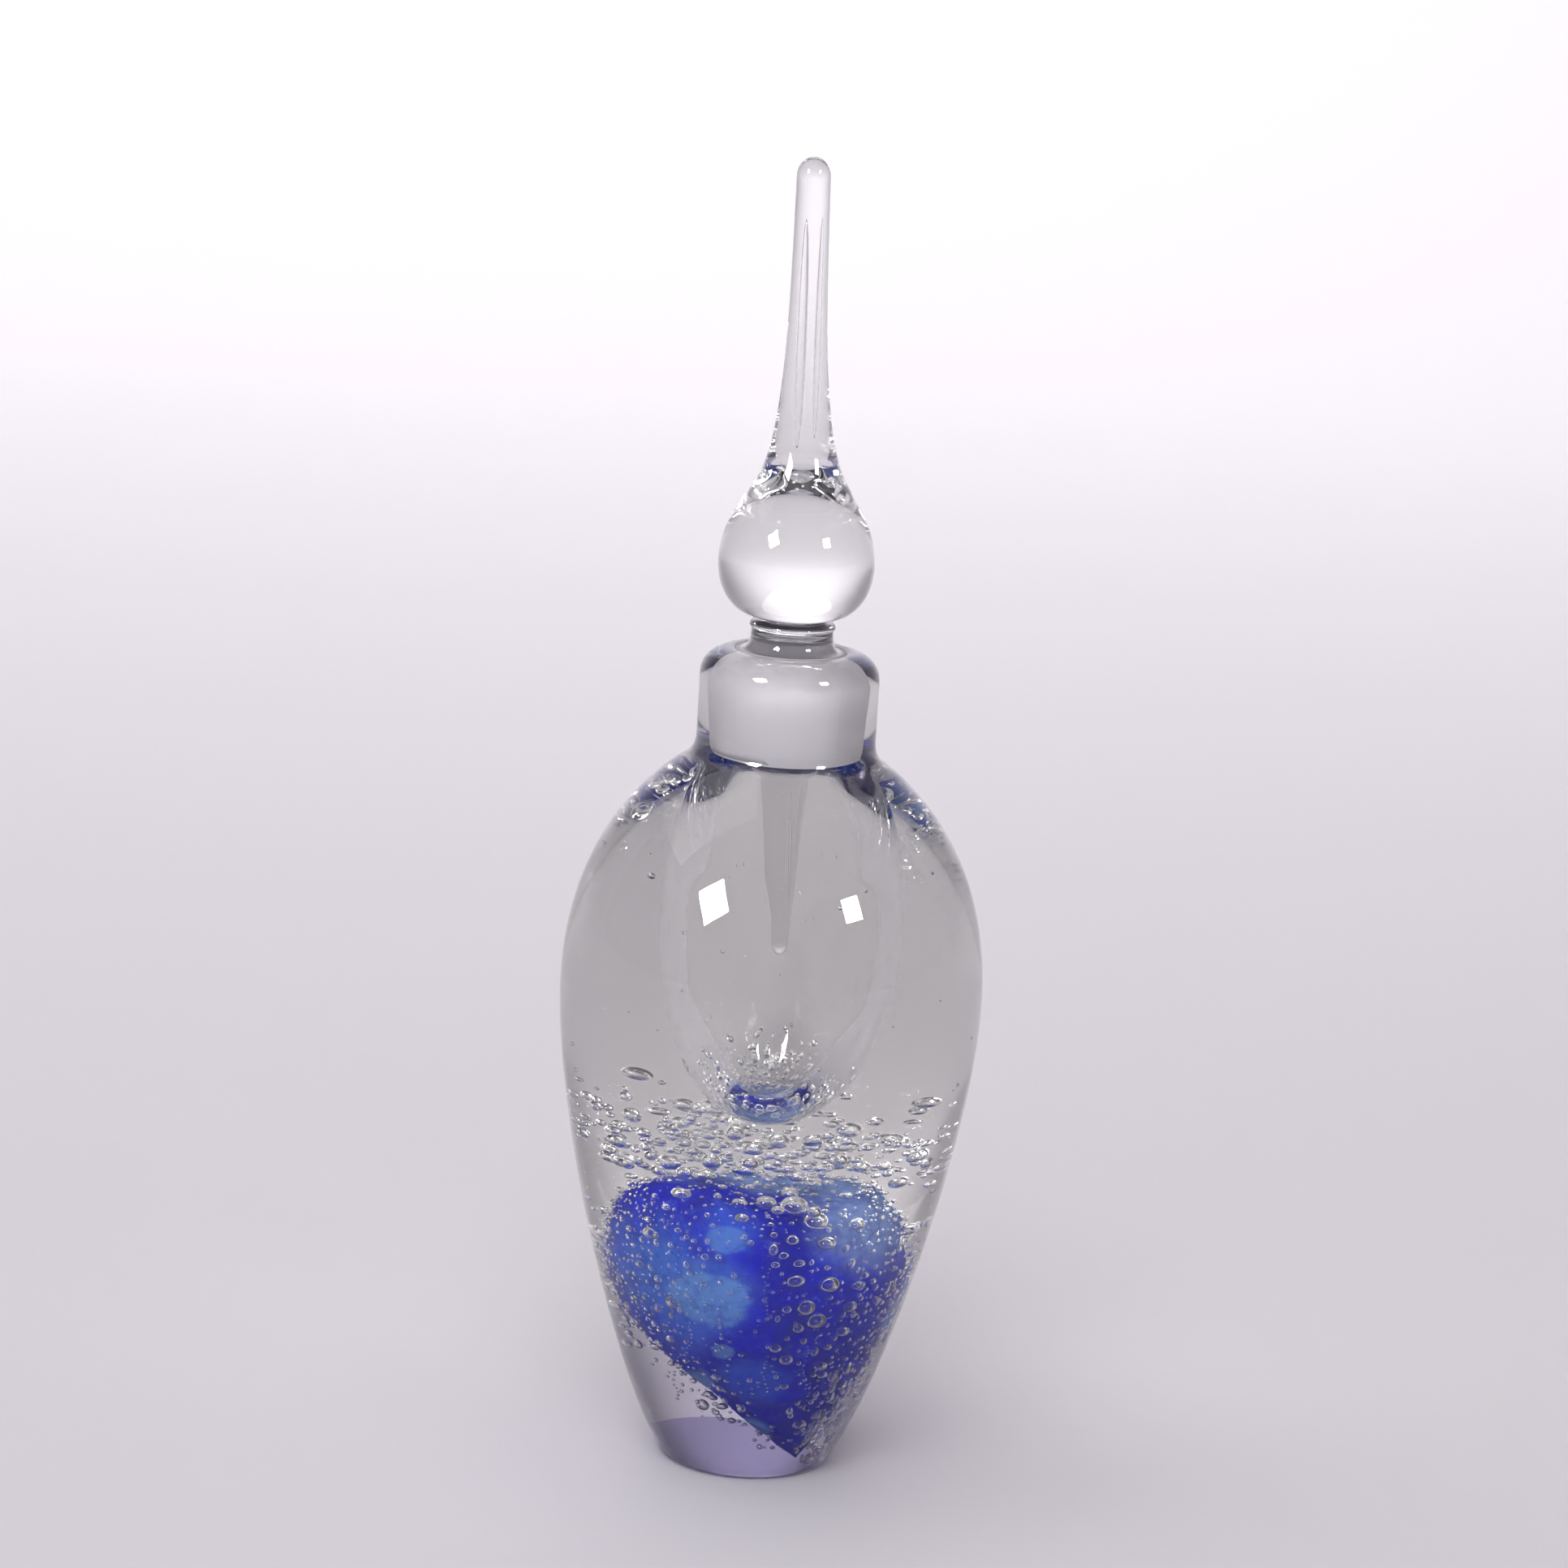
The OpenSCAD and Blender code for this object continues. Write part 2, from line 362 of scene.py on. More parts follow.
def maths(tree, operation, *values, kind="ShaderNodeMath", result=0):
    """Adds a maths node with its values in the order of its sockets."""
    made = node(tree, kind, {"operation": operation})
    for socket, value in zip(made.inputs, values):
        feed(tree, socket, value)
    return made.outputs[result]


def blend(tree, share, below, above):
    """Mixes two colours by the share of the second. The node has a set of sockets for each kind of
    value, with the same names, so they go by number."""
    made = node(tree, "ShaderNodeMix", {"data_type": "RGBA"})
    for place, value in ((0, share), (6, below), (7, above)):
        feed(tree, made.inputs[place], value)
    return made.outputs[2]


def noise(tree, place, scale, detail, **inputs):
    """A noise pattern that runs from 0 to 1, with scale in waves per metre."""
    made = node(tree, "ShaderNodeTexNoise", None, Vector=place, Scale=scale, Detail=detail, **inputs)
    return made.outputs["Fac"]


def new_material(name):
    """An empty material and its tree."""
    made = bpy.data.materials.new(name)
    made.use_nodes = True
    made.node_tree.nodes.clear()
    return made, made.node_tree


def place_in(tree):
    """The place in the object, in metres, which patterns go by."""
    return node(tree, "ShaderNodeTexCoord").outputs["Object"]


def output(tree, surface, volume=None):
    """Joins the surface's node, and that of what lies inside if there is one, to the output."""
    out = tree.nodes.new("ShaderNodeOutputMaterial")
    tree.links.new(surface.outputs[0], out.inputs["Surface"])
    if volume:
        tree.links.new(volume.outputs[0], out.inputs["Volume"])


# ---------------------------------------------------------------- materials

def clear_glass(name, tone):
    """Soda-lime glass, fire-polished: no texture of its own, only a tone."""
    made, tree = new_material(name)
    output(tree, node(tree, "ShaderNodeBsdfPrincipled", None, Base_Color=linear(tone), Roughness=0.0,
                      IOR=GLASS_IOR, Transmission_Weight=1.0))
    return made


def thick_glass():
    """Soda-lime glass so thick that it greys with depth. Low down it is tinted a darker lilac, which is
    painted shade: the bottle's cobalt-tinted shadow that shows through the foot.
    """
    made, tree = new_material("thick_soda_glass")
    place = place_in(tree)
    split = node(tree, "ShaderNodeSeparateXYZ", None, Vector=place)
    # painted shade: a darker lilac below 12 mm, fading to the clear tone by 36 mm
    painted_foot_shade = blend(tree, ramp(tree, split.outputs["Z"], 12 * MM, 36 * MM),
                 linear("#bbb8c6"), linear("#f6f6f4"))
    glass = node(tree, "ShaderNodeBsdfPrincipled", None, Base_Color=painted_foot_shade, Roughness=0.0,
                 IOR=GLASS_IOR, Transmission_Weight=1.0)
    output(tree, glass, node(tree, "ShaderNodeVolumeAbsorption", None, Color=linear("#bcbcbc"),
                             Density=14.0))
    return made


def foot_glass():
    """The foot, ground flat where the bottle was cut from the iron and left satin."""
    made, tree = new_material("satin_foot_and_painted_shade")
    place = place_in(tree)
    satin = ramp(tree, noise(tree, place, 240.0, 5.0), 0.3, 0.7, 0.35, 0.6, "LINEAR")
    # the lilac grey tone is painted shade, the bottle's cobalt-tinted shadow under the foot; the satin
    # roughness is the grinding
    output(tree, node(tree, "ShaderNodeBsdfPrincipled", None, Base_Color=linear("#d3d1e6"),
                      IOR=GLASS_IOR, Transmission_Weight=0.4, Roughness=satin))
    return made


def ground_glass():
    """The same glass ground matt with fine grit: a white bloom that hides what is behind it."""
    made, tree = new_material("ground_soda_glass")
    place = place_in(tree)
    # the grinding runs round the joint, so its marks are long round it and a third of a mm high
    stretched = node(tree, "ShaderNodeMapping", None, Vector=place, Scale=(300, 300, 3000))
    marks = noise(tree, stretched.outputs[0], 1.0, 3.0)
    bloom = ramp(tree, noise(tree, place, 260.0, 4.0), 0.3, 0.7, 0.5, 0.7, "LINEAR")
    bump = node(tree, "ShaderNodeBump", None, Height=marks, Strength=0.25, Distance=0.05 * MM)
    output(tree, node(tree, "ShaderNodeBsdfPrincipled", None, Base_Color=linear("#bebac1"),
                      IOR=GLASS_IOR, Transmission_Weight=0.04, Roughness=bloom,
                      Normal=bump.outputs[0]))
    return made


# Where the cobalt skin is thin, in millimetres: centre, half sizes, softness, strength and colour.
# The two with dark colours are folds, where it is thick.
WINDOWS = (
    ((-10, -6, 29), (6.0, 9, 8), 0.5, 0.75, "#4073d2"),
    ((-7, -10, 25), (4, 8, 5), 0.5, 0.5, "#3f66d8"),
    ((3.6, -12, 33), (2.8, 8, 11), 0.4, 0.7, "#0a10a0"),
    ((-1.5, -12, 29.6), (3.2, 8, 1.6), 0.3, 0.6, "#1219a8"),
    ((-4.7, -12, 28.4), (4.9, 8, 4.8), 0.4, 0.5, "#4a78cc"),
    ((-4.6, -12, 27.4), (4.6, 8, 3.6), 0.12, 0.7, "#5e8fd3"),
    ((-3.0, -10, 37.4), (3.2, 6, 3.6), 0.4, 0.5, "#3e6bd0"),
    ((-3.0, -10, 36.2), (2.7, 6, 2.2), 0.12, 0.7, "#5383d4"),
    ((-2.9, -12, 19.6), (1.3, 6, 1.2), 0.2, 0.75, "#5a88d0"),
    ((-4.8, -3, 12.5), (1.8, 6, 3.4), 0.3, 0.8, "#6c9ad6"),
    ((0.6, -2, 6.8), (1.8, 6, 2.2), 0.3, 0.8, "#6c9ad6"),
    ((0.2, -10, 15.0), (4.2, 8, 3.6), 0.3, 0.7, "#2a5ad6"),
    ((-8, -8, 17), (3, 8, 6), 0.5, 0.5, "#3c68e4"),
    ((10.5, -3, 38), (5.2, 9, 6.0), 0.6, 0.9, "#8fabe6"),
    ((1, 4.5, 46.0), (14, 11, 6.0), 0.35, 0.9, "#8da9de"),
    ((9, 8, 24), (5, 5, 6), 0.3, 0.8, "#5a8add"),
    ((-4, 12, 22), (4, 5, 4), 0.15, 0.8, "#6a98d8"),
    ((4, 12, 32), (4, 6, 3), 0.2, 0.7, "#5a8add"),
    ((-9, 9, 33), (4, 5, 6), 0.4, 0.7, "#4a78dc"),
)
WANDER = 0.9            # how far a window's edge strays, as a share of its half size
WINDOW_EDGE = 1.45      # where the edge lies, with about half of WANDER always added


def cobalt_glass():
    """Cobalt glass cased in clear. Where a thin skin of it was blown out it pales to light blue, so
    the core shows deep blue with paler lens-shaped windows and a misty crown."""
    made, tree = new_material("cobalt_glass")
    place = place_in(tree)
    drift = noise(tree, place, 160.0, 4.0, Roughness=0.6)

    def window(centre, size, soft):
        """1 inside an oval round centre, in millimetres, and 0 outside, with an edge this soft."""
        vector = "ShaderNodeVectorMath"
        moved = maths(tree, "SUBTRACT", place, [c * MM for c in centre], kind=vector)
        scaled = maths(tree, "DIVIDE", moved, [c * MM for c in size], kind=vector)
        far = maths(tree, "LENGTH", scaled, kind=vector, result="Value")
        strayed = maths(tree, "MULTIPLY_ADD", drift, WANDER, far)
        return ramp(tree, strayed, WINDOW_EDGE + soft, WINDOW_EDGE - soft)

    def over(below, mask, amount, colour):
        return blend(tree, maths(tree, "MULTIPLY", mask, amount), below, linear(colour))

    tone = over(linear("#050eb4"), ramp(tree, drift, 0.42, 0.62), 0.7, "#0b1dd4")
    wisps = noise(tree, place, 700.0, 5.0, Roughness=0.7)
    tone = over(tone, ramp(tree, wisps, 0.5, 0.72), 0.25, "#4a70dc")
    for centre, size, soft, amount, colour in WINDOWS:
        tone = over(tone, window(centre, size, soft), amount, colour)
    mottle = noise(tree, place, 420.0, 6.0, Roughness=0.75)
    tone = over(tone, ramp(tree, mottle, 0.52, 0.40), 0.4, "#1826a4")
    tone = over(tone, ramp(tree, mottle, 0.56, 0.70), 0.22, "#7c9ad8")
    output(tree, node(tree, "ShaderNodeBsdfPrincipled", None, Base_Color=tone, Roughness=0.35,
                      Specular_IOR_Level=0.0))
    return made


def trapped_air():
    """Air sealed in the glass, so light bends the other way at its wall and mirrors at its rim."""
    made, tree = new_material("trapped_air")
    output(tree, node(tree, "ShaderNodeBsdfGlass", None, Color=linear("#ffffff"), Roughness=0.0,
                      IOR=1 / GLASS_IOR))
    return made


def shade_veil_glass():
    """Clear glass tinted lilac as painted shade, for the bottle's cobalt-tinted shadow that shows
    through the foot. It bends light as the glass round it does, so only its tone shows."""
    made, tree = new_material("lilac_painted_shade")
    output(tree, node(tree, "ShaderNodeBsdfGlass", None, Color=linear("#dfdcee"), Roughness=0.0,
                      IOR=1.0))
    return made


THICK = thick_glass()
THIN = clear_glass("lampworked_soda_glass", "#ffffff")
SHADED_ROD = clear_glass("drawn_rod_glass_painted_shade", "#eaeaea")         # painted shade: tinted a shade darker, so that it shows in the well
GROOVE_SHADE = clear_glass("groove_painted_shade_glass", "#37353c")     # dark and smoky in tone: painted shade in the crevice where the ball meets the bead
FOOT = foot_glass()
GROUND = ground_glass()
COBALT = cobalt_glass()
AIR = trapped_air()
SHADE_VEIL = shade_veil_glass()


# ---------------------------------------------------------------- pieces

def give_faces(piece, material, wanted):
    """Gives the material to the faces whose centre and normal pass the test."""
    piece.data.materials.append(material)
    index = len(piece.data.materials) - 1
    for face in piece.data.polygons:
        if wanted(face.center / MM, face.normal):
            face.material_index = index


def off_axis(place):
    return math.hypot(place.x, place.y)


# Soft upright ripples in the wall of the well, from blowing it into the cold gather: where they
# are round it, in degrees, and how far out they go.
RIPPLES = ((-158, 0.5), (-118, -0.4), (-84, 0.3), (-52, -0.45), (-20, 0.5), (24, -0.4), (66, 0.45),
           (104, -0.4), (140, 0.4))


def bottle_glass():
    piece = turned("bottle_glass", body_outline() + neck_outline() + well_outline())
    # the well's middle drawn to one side, and then its ripples
    pull(piece, lambda place: off_axis(place) < WELL_R + 0.5 and 66 < place.z < 80,
         (WELL_OFFSET, 0, 0), 26)
    for turn, depth in RIPPLES:
        way = Vector((math.cos(math.radians(turn)), math.sin(math.radians(turn)), 0))

        def along(place, way=way):
            flat = Vector((place.x - WELL_OFFSET, place.y, 0))
            return (flat.length < WELL_R + 0.6 and 67 < place.z < 77
                    and flat.normalized().dot(way) > 0.9993)

        pull(piece, along, way * depth, 6)
    piece.data.materials.append(THICK)

    def in_socket(place, normal):
        inward = place.x * normal.x + place.y * normal.y < 0
        return (inward and SOCKET_Z < place.z < LIP_Z - MOUTH_EDGE
                and off_axis(place) < SOCKET_R + 0.1)

    give_faces(piece, GROUND, in_socket)
    give_faces(piece, FOOT, lambda place, normal: place.z < 0.05)
    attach(piece, "bottle")
    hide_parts("outer_casing", "well_vessel", "veil_gather", "neck_collar")


def stopper_glass():
    piece = turned("stopper_glass", stopper_outline())
    pick(piece, lambda place: place.z > SPIRE_Z - 0.01)
    bpy.ops.transform.rotate(value=SPIRE_LEAN, orient_axis="Y", center_override=(0, 0, SPIRE_Z * MM))
    bpy.ops.object.mode_set(mode="OBJECT")
    piece.data.materials.append(THIN)

    def on_plug(place, normal):
        return PLUG_Z < place.z < LIP_Z and off_axis(place) > PLUG_END_R - 0.05

    # painted shade: the faces in the groove between the bead and the ball get the dark glass
    def in_shaded_groove(place, normal):
        return BALL_Z - 0.15 < place.z < BALL_Z + 0.8 and off_axis(place) < BALL_FOOT_R + 0.1

    give_faces(piece, GROUND, on_plug)
    # painted shade: the dauber below the plug gets the rod glass tinted darker
    give_faces(piece, SHADED_ROD, lambda place, normal: place.z < PLUG_Z)
    give_faces(piece, GROOVE_SHADE, in_shaded_groove)
    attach(piece, "stopper")
    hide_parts("ground_plug", "dauber", "stopper_collar", "bead_ring", "ball_knop", "spire_finial")


def near(x, y, z, reach):
    return lambda place: (place - Vector((x, y, z))).length < reach


def blue_core():
    belly = (CORE_R, CORE_BELLY_Z)
    outline = (
        [(0, 0)]
        + curve((0, 0), (0.4 * CORE_R, 0.33 * CORE_BELLY_Z), (CORE_R, 0.64 * CORE_BELLY_Z), belly, 30)
        + curve(belly, (CORE_R, CORE_BELLY_Z + 0.8 * (CORE_H - CORE_BELLY_Z)), (0.8 * CORE_R, CORE_H),
                (0, CORE_H), 24)
    )
    piece = turned("blue_core_glass", outline)
    piece.matrix_world = (Matrix.Translation([c * MM for c in CORE_POINT])
                          @ Matrix.Rotation(CORE_LEAN, 4, "Y"))
    settle(piece)
    # the middle drawn to the left, a fuller left shoulder, a dip in the crown, a flatter right side
    pull(piece, lambda place: 28 < place.z < 33, (-1.2, 0, 0), 18)
    pull(piece, near(-7, -5, 42, 2.5), (-1, -0.8, 1.0), 10)
    pull(piece, near(2.5, -6, 44, 2.5), (0.6, 1.6, -1.8), 7)
    pull(piece, near(12, -2, 20, 3), (-0.9, 0, 0), 9)
    clouds = bpy.data.textures.new("marver_dents", "CLOUDS")
    clouds.noise_scale = 7 * MM
    dents = piece.modifiers.new("dents", "DISPLACE")
    dents.texture = clouds
    dents.texture_coords = "LOCAL"
    dents.strength = 1.2 * MM
    dents.mid_level = 0.5
    bpy.ops.object.modifier_apply(modifier=dents.name)
    piece.data.materials.append(COBALT)
    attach(piece, "bottle")
    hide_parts("blue_core")
    return piece


def foot_shade_veil():
    """A low dome of faintly lilac-tinted glass inside the clear foot, which is painted shade: the
    bottle's cobalt-tinted shadow that shows through the foot.
    """
    rim, top = (VEIL_R, VEIL_FOOT_Z), (0, VEIL_TOP_Z)
    outline = ([(0, VEIL_FOOT_Z)] + line((0, VEIL_FOOT_Z), rim, 6)
               + curve(rim, (8.4, 4.6), (5.2, 8.8), top, 20))
    piece = turned("foot_shade_veil", outline)
    piece.location = [c * MM for c in VEIL_PLACE]
    settle(piece)
    piece.data.materials.append(SHADE_VEIL)
    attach(piece, "bottle")


# ---------------------------------------------------------------- bubbles
# Each function below gives a list of (place, radius, height, tilt): height is a share of the
# radius, and tilt a lean and the way it goes, in radians. TAKEN holds the spots and radii of those
# placed so far round the core.

TAKEN = []


def bubble_shape(levels):
    """One bubble of air, a millimetre in radius, a little flatter below than above."""
    deselect()
    bpy.ops.mesh.primitive_ico_sphere_add(subdivisions=levels, radius=MM)
    bubble = bpy.context.object
    bpy.ops.object.mode_set(mode="EDIT")
    bpy.ops.mesh.select_all(action="SELECT")
    bpy.ops.transform.resize(value=(1, 0.95, 1))
    bpy.ops.object.mode_set(mode="OBJECT")
    pick(bubble, lambda place: place.z < 0)
    bpy.ops.transform.resize(value=(1, 1, 0.85), center_override=(0, 0, 0))
    bpy.ops.object.mode_set(mode="OBJECT")
    bpy.ops.object.shade_smooth()
    return bubble


def bubbles(name, body, levels, places):
    """Copies one bubble to each place and joins them as one piece."""
    model = bubble_shape(levels)
    copies = []
    for place, radius, height, tilt in places:
        made = model.copy()
        made.data = model.data.copy()
        made.matrix_world = (
            Matrix.Translation(place * MM) @ Matrix.Rotation(tilt[1], 4, "Z")
            @ Matrix.Rotation(tilt[0], 4, "Y") @ Matrix.Diagonal((radius, radius, radius * height, 1)))
        bpy.context.scene.collection.objects.link(made)
        copies.append(made)
    deselect()
    bpy.data.objects.remove(model)
    for made in copies:
        made.select_set(True)
    bpy.context.view_layer.objects.active = copies[0]
    bpy.ops.object.join()
    piece = bpy.context.object
    piece.name = name
    bpy.ops.object.transform_apply(location=True, rotation=True, scale=True)
    piece.data.materials.clear()
    piece.data.materials.append(AIR)
    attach(piece, body)


def is_free(place, radius):
    return all((place - other).length > 1.02 * (radius + size) for other, size in TAKEN)


def any_radius(middle, spread, most):
    """A random radius, most often near the middle one and sometimes a good deal larger."""
    return min(most, middle * math.exp(random.gauss(0.3, spread)))


def any_tilt():
    return random.gauss(0, 0.2), random.uniform(0, 6)


def polar(reach, turn, z):
    return Vector((reach * math.cos(turn), reach * math.sin(turn), z))


def front_and_back(core):
    """The core's front faces under -1 and its back ones under 1."""
    return {side: [f for f in core.data.polygons if f.normal.y * side > 0.02] for side in (-1, 1)}


def nearest(faces, x, z):
    """The face whose centre is nearest to this place, in millimetres, seen from the front."""
    return min(faces, key=lambda f: (f.center.x / MM - x) ** 2 + (f.center.z / MM - z) ** 2)


# The large bubbles on the core: x, z and radius.
LARGE = (
    (3.4, 39.7, 1.6), (5.8, 38.3, 1.5), (0.7, 40.3, 1.2), (7.1, 36.2, 1.2), (8.6, 34.5, 0.9),
    (4.3, 30.7, 1.2), (7.6, 29.8, 1.35), (8.7, 31.3, 1.0), (5.6, 27.4, 1.2), (4.0, 27.1, 0.65),
    (6.9, 24.9, 1.3), (5.2, 24.4, 0.8), (4.5, 33.2, 0.8), (2.9, 34.5, 0.65), (3.7, 36.0, 0.8),
    (2.2, 33.0, 0.65), (3.4, 31.9, 0.6), (3.0, 20.9, 0.75), (3.9, 19.6, 0.9), (7.2, 18.1, 0.9),
    (7.5, 16.0, 0.7), (3.8, 15.3, 0.6), (10.6, 29.4, 0.85), (10.3, 26.4, 0.85), (5.2, 8.6, 0.8),
    (6.6, 9.4, 0.8), (4.8, 42.0, 1.2), (-10.6, 34.8, 1.0), (-8.1, 26.3, 1.0), (-5.6, 33.9, 0.55),
    (-4.0, 33.0, 0.5), (-0.6, 36.1, 0.45), (-8.1, 36.7, 0.5), (-8.8, 34.0, 0.5), (1.6, 37.4, 0.5),
    (9.3, 22.7, 0.9), (8.2, 21.0, 0.6), (9.5, 38.0, 1.0), (-2.4, 28.7, 0.45), (-6.6, 30.2, 0.5),
)
UNDER_WELL = ((Vector((1.0, -5.5, 49.6)), 0.95), (Vector((0.9, -5, 47.4)), 0.7))


def large_bubbles(core):
    """The large bubbles on the front and right of the core, and as many round its back."""
    places = []
    faces = front_and_back(core)
    for x, z, radius in LARGE:
        for side in (-1, 1):
            face = nearest(faces[side], -x if side > 0 else x, z)
            size = radius if side < 0 else radius * random.uniform(0.6, 1.0)
            spot = face.center / MM + face.normal * size * 1.05
            if is_free(spot, size):
                TAKEN.append((spot, size))
                places.append((spot, size, random.uniform(0.85, 1.1), any_tilt()))
    for spot, size in UNDER_WELL:
        TAKEN.append((spot, size))
        places.append((spot, size, 0.9, (0, 0)))
    return places


CLOUD_COUNT, CLOUD_TRIES = 420, 9000
CLOUD_R, CLOUD_Z = 17.5, 45.5


def cloud_bubbles():
    """Flat wide bubbles in the clear gather above the core, strung in bands that sag to one side."""
    places = []
    well_half = WELL_BELLY_Z - WELL_FLOOR_Z
    for _ in range(CLOUD_TRIES):
        turn = random.uniform(0, math.tau)
        reach = CLOUD_R * math.sqrt(random.uniform(0.02, 1))
        x, y = reach * math.cos(turn), reach * math.sin(turn)
        z = random.gauss(CLOUD_Z + 0.008 * reach * reach - 0.06 * x, 3.0)
        radius = any_radius(0.4, 0.5, 1.3)
        spot = Vector((x, y, z))
        room = radius + 1.2     # of glass kept between the bubble and the well
        if math.hypot(reach / (WELL_R + room), (z - WELL_BELLY_Z) / (well_half + room)) < 1:
            continue
        if is_free(spot, radius):
            TAKEN.append((spot, radius))
            places.append((spot, radius, random.uniform(0.6, 0.9), (random.gauss(-0.08, 0.1), turn)))
        if len(places) == CLOUD_COUNT:
            break
    return places


FOOT_COUNT, FOOT_TRIES = 150, 900


def foot_bubbles():
    """A thick cluster of drawn-out bubbles beside the point of the core."""
    places = []
    for _ in range(FOOT_TRIES):
        x, y, z = random.uniform(2, 11), random.gauss(-1, 4.5), random.uniform(2.5, 17)
        radius = any_radius(0.25, 0.4, 0.7)
        spot = Vector((x, y, z))
        heart = 6.5 + 0.28 * z          # the cluster leans out as it goes up
        casing = BASE_R + 0.42 * z      # inside the outer surface
        room = 1.3 * radius
        if abs(x - heart) > 2.0 or math.hypot(x, y) + radius > casing or not is_free(spot, room):
            continue
        TAKEN.append((spot, room))
        places.append((spot, radius, random.uniform(1.2, 1.9), (0.3, 0)))
        if len(places) == FOOT_COUNT:
            break
    return places


# The strings of bubbles: x, and the heights they run between.
CHAINS = ((-6.4, 17, 24), (1.5, 26, 33), (1.9, 14, 20), (-3.6, 9, 16), (-5.6, 27, 32), (6.1, 11, 21))


def chain_bubbles(core):
    """Strings of the finest bubbles, drawn out up the core when it was pulled."""
    places = []
    faces = front_and_back(core)
    for x, foot, top in CHAINS:
        for side in (-1, 1):
            z = foot
            while z < top:
                along = x + 0.25 * math.sin(z) + random.uniform(-0.1, 0.1)
                along = -along if side > 0 else along
                face = nearest(faces[side], along, z)
                radius = random.uniform(0.1, 0.2)
                spot = Vector((along, face.center.y / MM, z)) + face.normal * 0.3
                if is_free(spot, radius):
                    TAKEN.append((spot, radius))
                    places.append((spot, radius, 1.2, (0, 0)))
                z += random.uniform(0.4, 0.8)
    return places


EDGE_TRIES = 700


def edge_bubbles(core):
    """Drawn-out bubbles in the clear glass beside the lower core, most of them on its right."""
    faces = [f for f in core.data.polygons if 5 < f.center.z / MM < 36 and abs(f.normal.z) < 0.9]
    weights = [f.area * (0.3 + max(0, f.normal.x) * 2.2 + max(0, -f.normal.x) * 0.8) for f in faces]
    places = []
    for face in random.choices(faces, weights, k=EDGE_TRIES):
        radius = any_radius(0.2, 0.4, 0.6)
        height = random.uniform(1.0, 1.7)
        spot = face.center / MM + face.normal * (radius * height + random.uniform(0.1, 2.2))
        # kept 1.5 mm inside a cone and a cylinder that lie within the outer surface
        limit = BASE_R + 2 + 0.5 * spot.z if spot.z < 22 else 21
        if math.hypot(spot.x, spot.y) + radius > limit - 1.5 or spot.z < 2.5:
            continue
        if is_free(spot, radius * 1.2):
            TAKEN.append((spot, radius))
            places.append((spot, radius, height, (0.35 * face.normal.x, 0)))
    return places


SKIN_TRIES = 2000


def skin_bubbles(core):
    """Fine seed that clings all over the core, thickest on its shoulders and sides."""
    faces = [f for f in core.data.polygons if 6 < f.center.z / MM < 46]

    def crowd(face):
        x, _, z = face.center / MM
        side = abs(x - 1.5) / CORE_R
        return face.area * (0.35 + 1.3 * side * side + (1.5 if z > 36 else 0))

    def stray():
        return random.uniform(-0.3, 0.3)

    places = []
    for face in random.choices(faces, [crowd(f) for f in faces], k=SKIN_TRIES):
        radius = any_radius(0.15, 0.45, 0.6)
        spot = face.center / MM + face.normal * radius * 1.1 + Vector((stray(), stray(), stray()))
        if is_free(spot, radius):
            TAKEN.append((spot, radius))
            places.append((spot, radius, random.uniform(0.85, 1.15), any_tilt()))
    return places


STRAY_COUNT = 34


def stray_bubbles():
    """A few specks of seed in the clear wall beside the well."""
    places = []
    while len(places) < STRAY_COUNT:
        turn = random.uniform(0, math.tau)
        reach, z = random.uniform(WELL_R + 4, 23.5), random.uniform(54, 84)
        if reach > 20 and z > 78:
            continue        # the shoulder has come in to there
        places.append((polar(reach, turn, z), random.uniform(0.12, 0.3), 1.0, (0, 0)))
    return places


RING_COUNT = 26


def spire_bubbles():
    """Fine bubbles round the joint of spire and ball, larger ones beside it, and long air streaks."""
    places = []
    for step in range(RING_COUNT):
        turn = math.tau * step / RING_COUNT + random.uniform(-0.1, 0.1)
        reach = random.uniform(2.6, 4.2)
        spot = polar(reach, turn, SPIRE_Z + random.uniform(-0.6, 1.2))
        places.append((spot, random.uniform(0.16, 0.3), 1.0, (0, 0)))
    for x, rise, radius in ((3.2, 0.6, 0.75), (4.3, -1.6, 0.6)):
        places.append((Vector((x, -1.2, SPIRE_Z + rise)), radius, 1.2, (0.3, 0)))
        places.append((Vector((-x, 1.6, SPIRE_Z + rise)), radius * 0.9, 1.1, (0.3, 0)))
    # Two long streaks of air in the spire and two in the dauber. A positive tilt leans a bubble to
    # +X, and the spire leans to -X.
    places.append((Vector((0.75, -0.6, SPIRE_Z + 20)), 0.36, 44, (-SPIRE_LEAN, 0)))
    places.append((Vector((-0.85, -0.4, SPIRE_Z + 19)), 0.5, 33, (-SPIRE_LEAN, 0)))
    places.append((Vector((0.9, -0.5, DAUBER_TIP_Z + 13)), 0.16, 50, (-0.02, 0)))
    places.append((Vector((1.5, 0.2, DAUBER_TIP_Z + 17)), 0.12, 50, (0.03, 0)))
    return places


# ---------------------------------------------------------------- camera and stage, in metres

LENS, SENSOR = 111.8, 36    # millimetres
CAMERA_AIM = Vector((0.0001, 0, 0.094))
CAMERA_AWAY = 0.6514
CAMERA_RISE = math.radians(12)
CAMERA_ROLL = math.radians(3.4)


